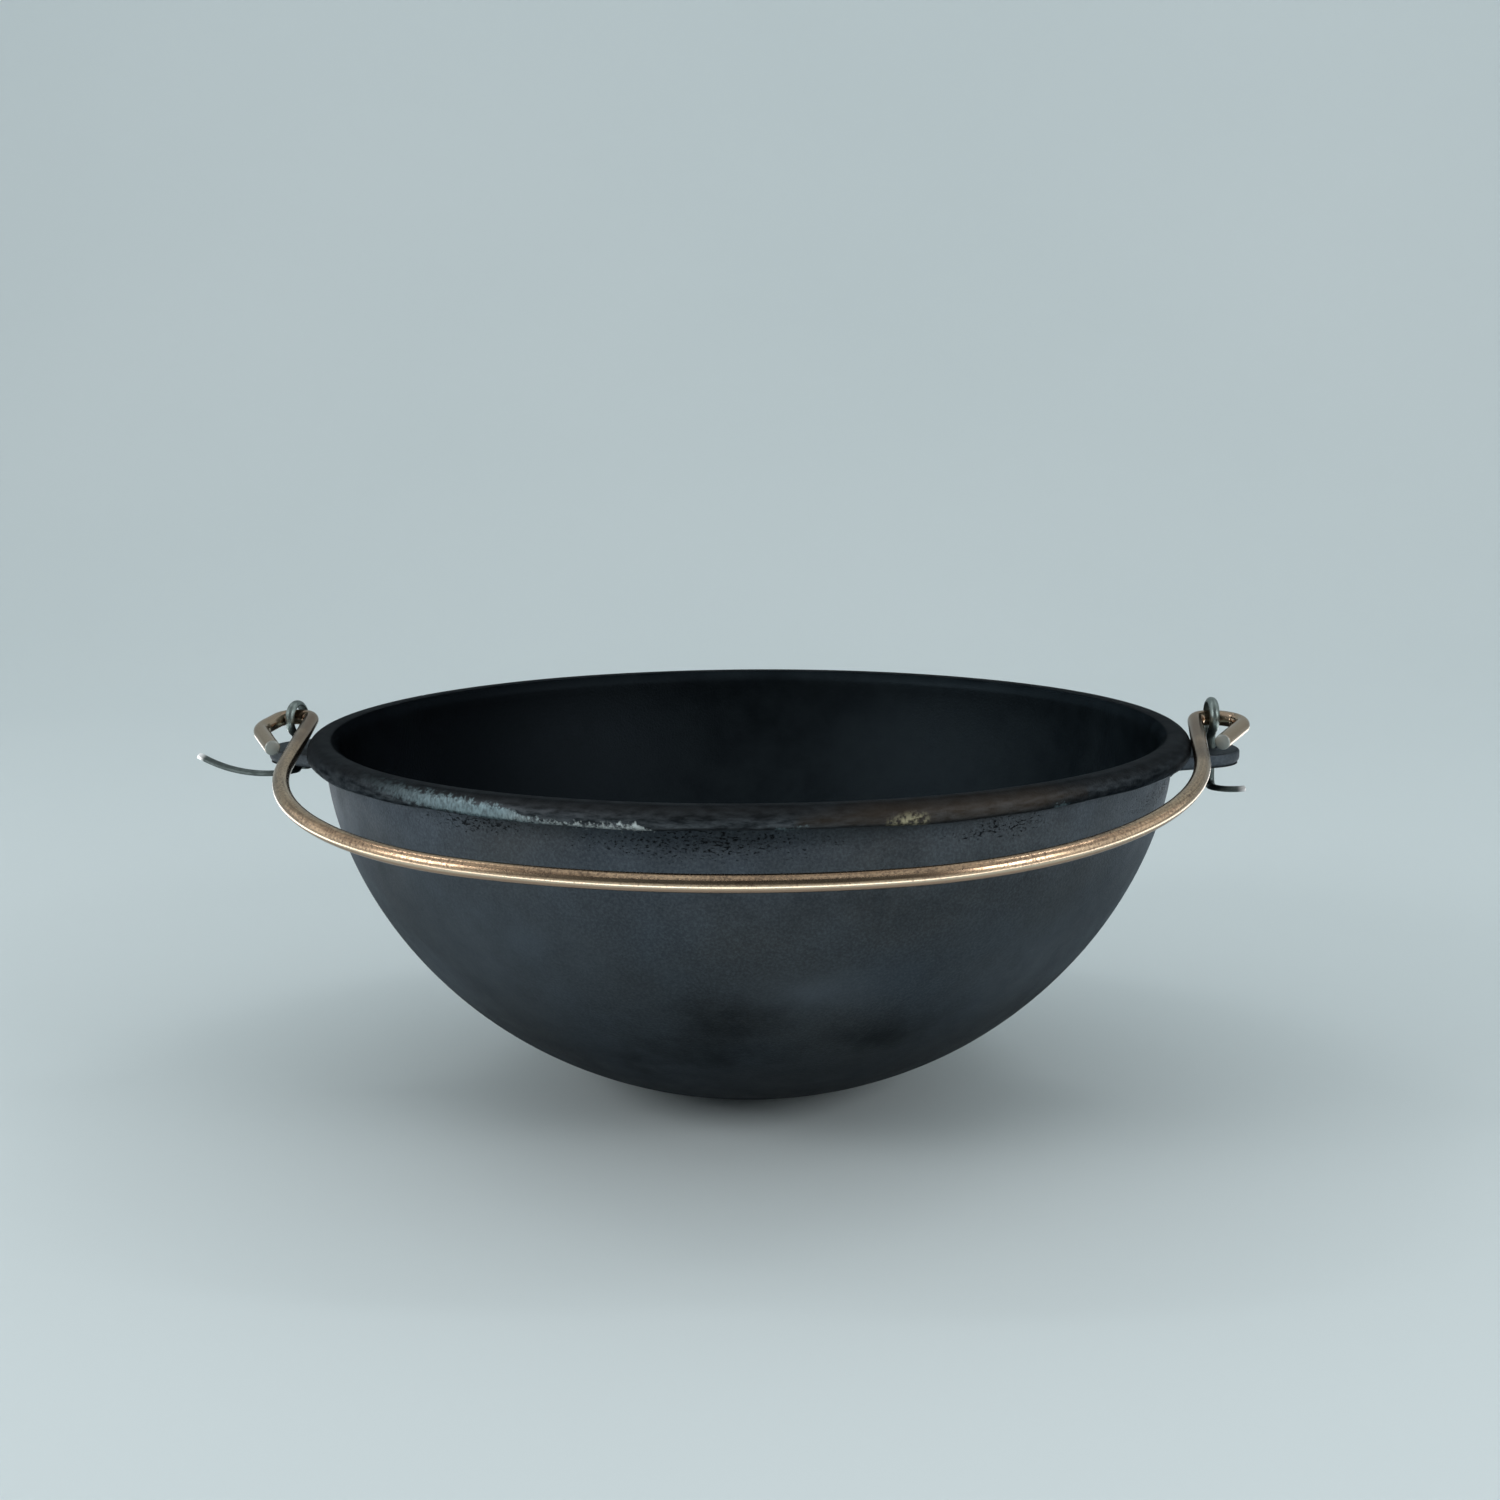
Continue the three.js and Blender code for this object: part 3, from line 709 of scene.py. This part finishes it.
# Bail: one length of drawn steel rod with a thin copper wash, bent by hand into a wide bow.
# Each end is hooked out through the eye of its split pin and bent back along the arm.
rod_radius = 2.8 * MM
rest_tilt = np.radians(7.6)
arm_inset = 6.03 * MM
arm_reach = pin_reach - arm_inset
crown_radius = 256 * MM
bail_overhang = 9 * MM
crown_centre = rim_radius + bail_overhang - crown_radius
hook_bend = 5 * MM
hook_straight = 5 * MM
hook_mouth = 2.4 * MM
left_side = {"taper": 6.25, "corner_radius": 118, "outreach": 9.3, "setback": 17, "length": 40}
right_side = {"taper": 6.95, "corner_radius": 134, "outreach": 10.8, "setback": 7.5, "length": 31}
rod_tip = 0.7 * MM
rod_step = 0.8 * MM
worn_length = 120 * MM


def rounded_corner(before, corner, after):
    """A bend at a corner, steered by the corner and by points one bend's length to each side of it."""
    before, corner, after = (np.array(point) for point in (before, corner, after))
    start = corner + hook_bend * (before - corner) / np.linalg.norm(before - corner)
    end = corner + hook_bend * (after - corner) / np.linalg.norm(after - corner)
    return steered(start, corner, end)


def bail_half(taper, corner_radius, outreach, setback, length):
    """One side of the bail, flat, as distance across and forward of its hinge: an arc for half the crown,
    a tighter arc that touches it and the arm, the straight arm, and the hook with its three bends."""
    corner_radius = corner_radius * MM
    slope = np.radians(taper)
    arm_way = np.array([-np.sin(slope), np.cos(slope)])
    corner = np.array([arm_reach, -crown_centre]) - corner_radius * np.array([arm_way[1], -arm_way[0]])
    back = corner @ arm_way
    room = (crown_radius - corner_radius) ** 2 - corner @ corner
    corner = corner + arm_way * (np.sqrt(back ** 2 + room) - back)
    turn = np.degrees(np.arctan2(corner[1], corner[0]))
    crown = arc(0, crown_centre, crown_radius, 90, turn, 240)
    bend = arc(corner[0], corner[1] + crown_centre, corner_radius, turn, taper, 160)
    arm = (arm_reach, 0)
    knee = (pin_reach + hook_straight, 0)
    heel = (pin_reach + outreach * MM, setback * MM)
    tip = (arm_reach - length * MM * np.tan(slope) + 2 * rod_radius + hook_mouth, length * MM)
    hook = [
        rounded_corner(bend[-1], arm, knee),
        rounded_corner(arm, knee, heel),
        rounded_corner(knee, heel, tip),
    ]
    return np.concatenate([crown, bend[1:], *hook, [tip]])


left_half = bail_half(**left_side) * (-1, 1)
flat = np.concatenate([left_half[::-1], bail_half(**right_side)[1:]])
forward = np.array([0, -np.cos(rest_tilt), -np.sin(rest_tilt)])
upward = np.array([0, -np.sin(rest_tilt), np.cos(rest_tilt)])
path = flat[:, :1] * (1, 0, 0) + flat[:, 1:] * forward + (0, 0, axis_height)
path, along = even_path(path, rod_step, rod_tip)
angle = np.linspace(0, 2 * np.pi, section_points, endpoint=False)
circle = rod_radius * np.stack([np.cos(angle), np.sin(angle)], axis=-1)
section = circle * tip_scale(along, rod_tip)[:, None, None]
across = np.repeat(upward[None], len(path), axis=0)

# Each point's place on the rod before it was bent: its length along, then its height and depth in the rod
unbent = np.concatenate([np.broadcast_to(along[:, None, None], section[..., :1].shape), section], axis=-1)
from_end = np.minimum(along, along[-1] - along)[:, None]
hooked = np.clip(1 - from_end / worn_length, 0, 1) + 0 * angle
cut_end = np.clip(1.5 - from_end / rod_tip, 0, 1) + 0 * angle
bail = ring_mesh("bail_rod", swept(path, across, section), {
    "unbent": unbent,
    "hooked": hooked,
    "cut": cut_end,
})
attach(bail, "bail")
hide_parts("bail")

# Copper-washed drawn steel: a brown-grey metal with long fine streaks from the die, fine dark specks of
# oxide on its upper side, and a thinner, greyer wash towards the hooks. A highlight line is painted along
# the rod a little under its middle, and its lower half is painted lighter as a reflection of the floor.
# The streaks are drawn coarser than a die's real ones so that they show.
streak_size = 0.7 * MM
streak_stretch = 60
speck_size = 0.9 * MM
patch_size = 24 * MM
streak_depth = 0.006 * MM
copper, tree = empty_material("copper_washed_steel")
rod_place = add_node(tree, "ShaderNodeAttribute", attribute_name="unbent").outputs["Vector"]
drawn = add_node(tree, "ShaderNodeMapping", {
    "Vector": rod_place, "Scale": (1 / streak_stretch, 1, 1),
}).outputs[0]
streaks = add_node(tree, "ShaderNodeTexNoise", {
    "Vector": drawn, "Scale": 1 / streak_size, "Detail": 3, "Roughness": 0.6,
}).outputs["Fac"]
oxide = add_node(tree, "ShaderNodeTexNoise", {
    "Vector": rod_place, "Scale": 1 / speck_size, "Detail": 3, "Roughness": 0.65,
}).outputs["Fac"]
patches = add_node(tree, "ShaderNodeTexNoise", {
    "Vector": rod_place, "Scale": 1 / patch_size, "Detail": 3,
}).outputs["Fac"]
streaked = add_node(tree, "ShaderNodeMapRange", {
    "Value": streaks, "From Min": 0.35, "From Max": 0.65,
}).outputs[0]
tone = add_node(tree, "ShaderNodeMix", {
    0: streaked, 6: linear("#a3876d"), 7: linear("#c9ae90"),
}, data_type="RGBA").outputs[2]
hook_part = add_node(tree, "ShaderNodeAttribute", attribute_name="hooked").outputs["Fac"]
thin_wash = add_node(tree, "ShaderNodeMath", {0: hook_part, 1: patches}, operation="ADD").outputs[0]
thin_wash = add_node(tree, "ShaderNodeMapRange", {
    "Value": thin_wash, "From Min": 0.6, "From Max": 0.85,
}).outputs[0]
tone = add_node(tree, "ShaderNodeMix", {
    0: thin_wash, 6: tone, 7: linear("#7e6653"),
}, data_type="RGBA").outputs[2]
handled = add_node(tree, "ShaderNodeMapRange", {
    "Value": hook_part, "From Min": 0.5, "From Max": 0.7,
}).outputs[0]
tone = add_node(tree, "ShaderNodeMix", {
    0: handled, 6: tone, 7: linear("#a8937e"),
}, data_type="RGBA").outputs[2]
# Painted reflection: the rod's lower half is drawn lighter, as the bright floor shows in it
level = add_node(tree, "ShaderNodeSeparateXYZ", {0: rod_place}).outputs["Y"]
upper = add_node(tree, "ShaderNodeMapRange", {
    "Value": level, "From Min": -0.3 * rod_radius, "From Max": 0.3 * rod_radius,
}).outputs[0]
tone = add_node(tree, "ShaderNodeMix", {
    0: upper, 6: linear("#b89a83"), 7: tone,
}, data_type="RGBA").outputs[2]
# Painted highlight: a light line along the rod a little under its middle
from_highlight_line = add_node(tree, "ShaderNodeMath", {0: level, 1: 0.15 * rod_radius}, operation="ADD").outputs[0]
from_highlight_line = add_node(tree, "ShaderNodeMath", {0: from_highlight_line}, operation="ABSOLUTE").outputs[0]
painted_highlight_line = add_node(tree, "ShaderNodeMapRange", {
    "Value": from_highlight_line, "From Min": 0.28 * rod_radius, "From Max": 0.08 * rod_radius,
}).outputs[0]
tone = add_node(tree, "ShaderNodeMix", {
    0: painted_highlight_line, 6: tone, 7: linear("#cdbba4"),
}, data_type="RGBA").outputs[2]
specks = add_node(tree, "ShaderNodeMath", {
    0: patches, 1: 0.35, 2: oxide,
}, operation="MULTIPLY_ADD").outputs[0]
specks = add_node(tree, "ShaderNodeMath", {
    0: upper, 1: 0.22, 2: specks,
}, operation="MULTIPLY_ADD").outputs[0]
specks = add_node(tree, "ShaderNodeMath", {
    0: hook_part, 1: -0.35, 2: specks,
}, operation="MULTIPLY_ADD").outputs[0]
specks = add_node(tree, "ShaderNodeMapRange", {
    "Value": specks, "From Min": 0.82, "From Max": 1.1,
}).outputs[0]
tone = add_node(tree, "ShaderNodeMix", {
    0: specks, 6: tone, 7: linear("#66564a"),
}, data_type="RGBA").outputs[2]
cut = add_node(tree, "ShaderNodeAttribute", attribute_name="cut").outputs["Fac"]
tone = add_node(tree, "ShaderNodeMix", {0: cut, 6: tone, 7: linear("#929692")}, data_type="RGBA").outputs[2]
dullness = add_node(tree, "ShaderNodeMapRange", {
    "Value": specks, "To Min": 0.2, "To Max": 0.32,
}).outputs[0]
dullness = add_node(tree, "ShaderNodeMath", {
    0: cut, 1: 0.35, 2: dullness,
}, operation="MULTIPLY_ADD").outputs[0]
dies = add_node(tree, "ShaderNodeBump", {
    "Height": streaks, "Strength": 1, "Distance": streak_depth,
}).outputs[0]
surface = add_node(tree, "ShaderNodeBsdfPrincipled", {
    "Base Color": tone, "Metallic": 1.0, "Roughness": dullness, "Normal": dies,
    "Specular Tint": linear("#e7e5e3"),
})
add_node(tree, "ShaderNodeOutputMaterial", {"Surface": surface.outputs[0]})
bail.data.materials.append(copper)


# Floor: a sheet of pale blue-grey studio paper that lies flat under the pot and sweeps up behind it.
# It is plain and unlined, with only the slight tooth of the paper.
floor_front = -2.6
floor_back = 0.9
sweep_radius = 1.1
sweep_top = 2.6
floor_half_width = 3.2


def paper_sweep():
    """Points of the sheet: a line along the floor, a quarter circle and a line up, carried across X."""
    ground_line = np.stack([np.linspace(floor_front, floor_back, 40), np.zeros(40)], axis=1)
    bend = arc(floor_back, sweep_radius, sweep_radius, -90, 0, 40)
    rise = np.linspace(sweep_radius, sweep_top, 10)
    wall = np.stack([np.full(10, floor_back + sweep_radius), rise], axis=1)
    line = np.concatenate([ground_line, bend[1:], wall[1:]])
    across = np.linspace(-floor_half_width, floor_half_width, 20)
    x, y = np.meshgrid(across, line[:, 0])
    return np.stack([x, y, np.repeat(line[:, 1:], len(across), axis=1)], axis=-1)


sheet = paper_sweep()
rows, columns = sheet.shape[:2]
index = np.arange(rows * columns).reshape(rows, columns)
quads = np.stack([index[:-1, :-1], index[:-1, 1:], index[1:, 1:], index[1:, :-1]], axis=-1).reshape(-1, 4)
mesh = bpy.data.meshes.new("paper_floor")
mesh.from_pydata(sheet.reshape(-1, 3).tolist(), [], quads.tolist())
mesh.shade_smooth()
paper_floor = bpy.data.objects.new("paper_floor", mesh)
bpy.context.scene.collection.objects.link(paper_floor)

# Matt coloured paper: even and chalky, with a slow drift of tone and a faint tooth, drawn coarser than the
# real one so that it shows
tooth_size = 2 * MM
tooth_depth = 0.05 * MM
drift_size = 833 * MM
paper, tree = empty_material("pale_studio_paper")
place = add_node(tree, "ShaderNodeTexCoord").outputs["Object"]
tooth = add_node(tree, "ShaderNodeTexNoise", {
    "Vector": place, "Scale": 1 / tooth_size, "Detail": 2,
}).outputs["Fac"]
drift = add_node(tree, "ShaderNodeTexNoise", {
    "Vector": place, "Scale": 1 / drift_size, "Detail": 2,
}).outputs["Fac"]
tone = add_node(tree, "ShaderNodeMix", {
    0: drift, 6: linear("#ced9db"), 7: linear("#d8e1e3"),
}, data_type="RGBA").outputs[2]
toothed = add_node(tree, "ShaderNodeBump", {
    "Height": tooth, "Strength": 0.3, "Distance": tooth_depth,
}).outputs[0]
surface = add_node(tree, "ShaderNodeBsdfPrincipled", {
    "Base Color": tone, "Roughness": 0.95, "Specular IOR Level": 0.1, "Normal": toothed,
})
add_node(tree, "ShaderNodeOutputMaterial", {"Surface": surface.outputs[0]})
mesh.materials.append(paper)


# Light: pale studio walls all round, dim only behind the camera, with a softbox on each side in front and
# a narrow strip above the camera. White cards lie low in front of the pot and at both its sides, facing up,
# and two lamps light the paper behind it.
def softbox(name, place, aim, width, depth, watts):
    """A white area lamp at a place, turned to face an aim."""
    lamp = bpy.data.lights.new(name, "AREA")
    lamp.shape = "RECTANGLE"
    lamp.size = width
    lamp.size_y = depth
    lamp.energy = watts
    holder = bpy.data.objects.new(name, lamp)
    holder.location = place
    holder.rotation_euler = (Vector(aim) - Vector(place)).to_track_quat("-Z", "Y").to_euler()
    holder.visible_camera = False
    bpy.context.scene.collection.objects.link(holder)


softbox("left_softbox", (-1.1, -0.7, 0.7), (0, 0, 0.08), 0.5, 0.5, 5.3)
softbox("right_softbox", (1.1, -0.8, 0.65), (0, 0, 0.08), 0.5, 0.5, 5.2)
softbox("top_strip", (0, -0.95, 1.3), (0, 0, 0.1), 1.2, 0.06, 0.4)
softbox("front_card", (0, -0.3, 0.012), (0, -0.28, 1), 0.8, 0.05, 0.4)
softbox("left_card", (-0.41, 0.2, 0.012), (-0.39, 0.2, 1), 1.0, 0.14, 1.3)
softbox("right_card", (0.41, 0.2, 0.012), (0.39, 0.2, 1), 1.0, 0.14, 1.0)
softbox("left_backdrop_light", (-1.3, 0.5, 2.2), (-1.3, 2, 0.5), 0.8, 0.4, 6.4)
softbox("right_backdrop_light", (1.3, 0.5, 2.2), (1.3, 2, 0.5), 0.8, 0.4, 7.6)

# The camera sees the walls in the plain tone of the far floor, and the metal shows them as they light it
camera_side = (0, -0.94, 0.34)
world = bpy.data.worlds.new("studio_walls")
world.use_nodes = True
tree = world.node_tree
direction = add_node(tree, "ShaderNodeTexCoord").outputs["Generated"]
facing = add_node(tree, "ShaderNodeVectorMath", {
    0: direction, 1: camera_side,
}, operation="DOT_PRODUCT").outputs["Value"]
dim = add_node(tree, "ShaderNodeMapRange", {
    "Value": facing, "From Min": 0.55, "From Max": 0.9,
}, interpolation_type="SMOOTHSTEP").outputs[0]
walls = add_node(tree, "ShaderNodeMix", {
    0: dim, 6: linear("#e4eaec"), 7: linear("#4c5356"),
}, data_type="RGBA").outputs[2]
seen = add_node(tree, "ShaderNodeLightPath").outputs["Is Camera Ray"]
walls = add_node(tree, "ShaderNodeMix", {
    0: seen, 6: walls, 7: linear("#a8b5b8"),
}, data_type="RGBA").outputs[2]
tree.links.new(walls, tree.nodes["Background"].inputs["Color"])
up = add_node(tree, "ShaderNodeSeparateXYZ", {0: direction}).outputs["Z"]
glow = add_node(tree, "ShaderNodeMapRange", {
    "Value": up, "From Min": 0.1, "From Max": 0.7, "To Min": 1.55, "To Max": 0.8,
}).outputs[0]
glow = add_node(tree, "ShaderNodeMix", {0: seen, 2: glow, 3: 1.0}).outputs[0]
tree.links.new(glow, tree.nodes["Background"].inputs["Strength"])
bpy.context.scene.world = world
bpy.context.scene.view_settings.view_transform = "Standard"


# Camera: a little above the rim and almost square to the front, as in the photograph. It is turned, tilted
# and rolled as a hand-held one, and its lens is given for a sensor 36 mm wide.
camera_place = (36.6 * MM, -699.0 * MM, 243.4 * MM)
camera_turn = np.radians(2.96)
camera_tilt = np.radians(-9.71)
camera_roll = np.radians(-0.4)
camera = bpy.data.objects.new("camera", bpy.data.cameras.new("camera"))
camera.data.sensor_width = 36
camera.data.lens = 45.576
camera.matrix_world = (
    Matrix.Translation(camera_place)
    @ Matrix.Rotation(camera_turn, 4, "Z")
    @ Matrix.Rotation(np.pi / 2 + camera_tilt, 4, "X")
    @ Matrix.Rotation(camera_roll, 4, "Z")
)
bpy.context.scene.collection.objects.link(camera)
bpy.context.scene.camera = camera
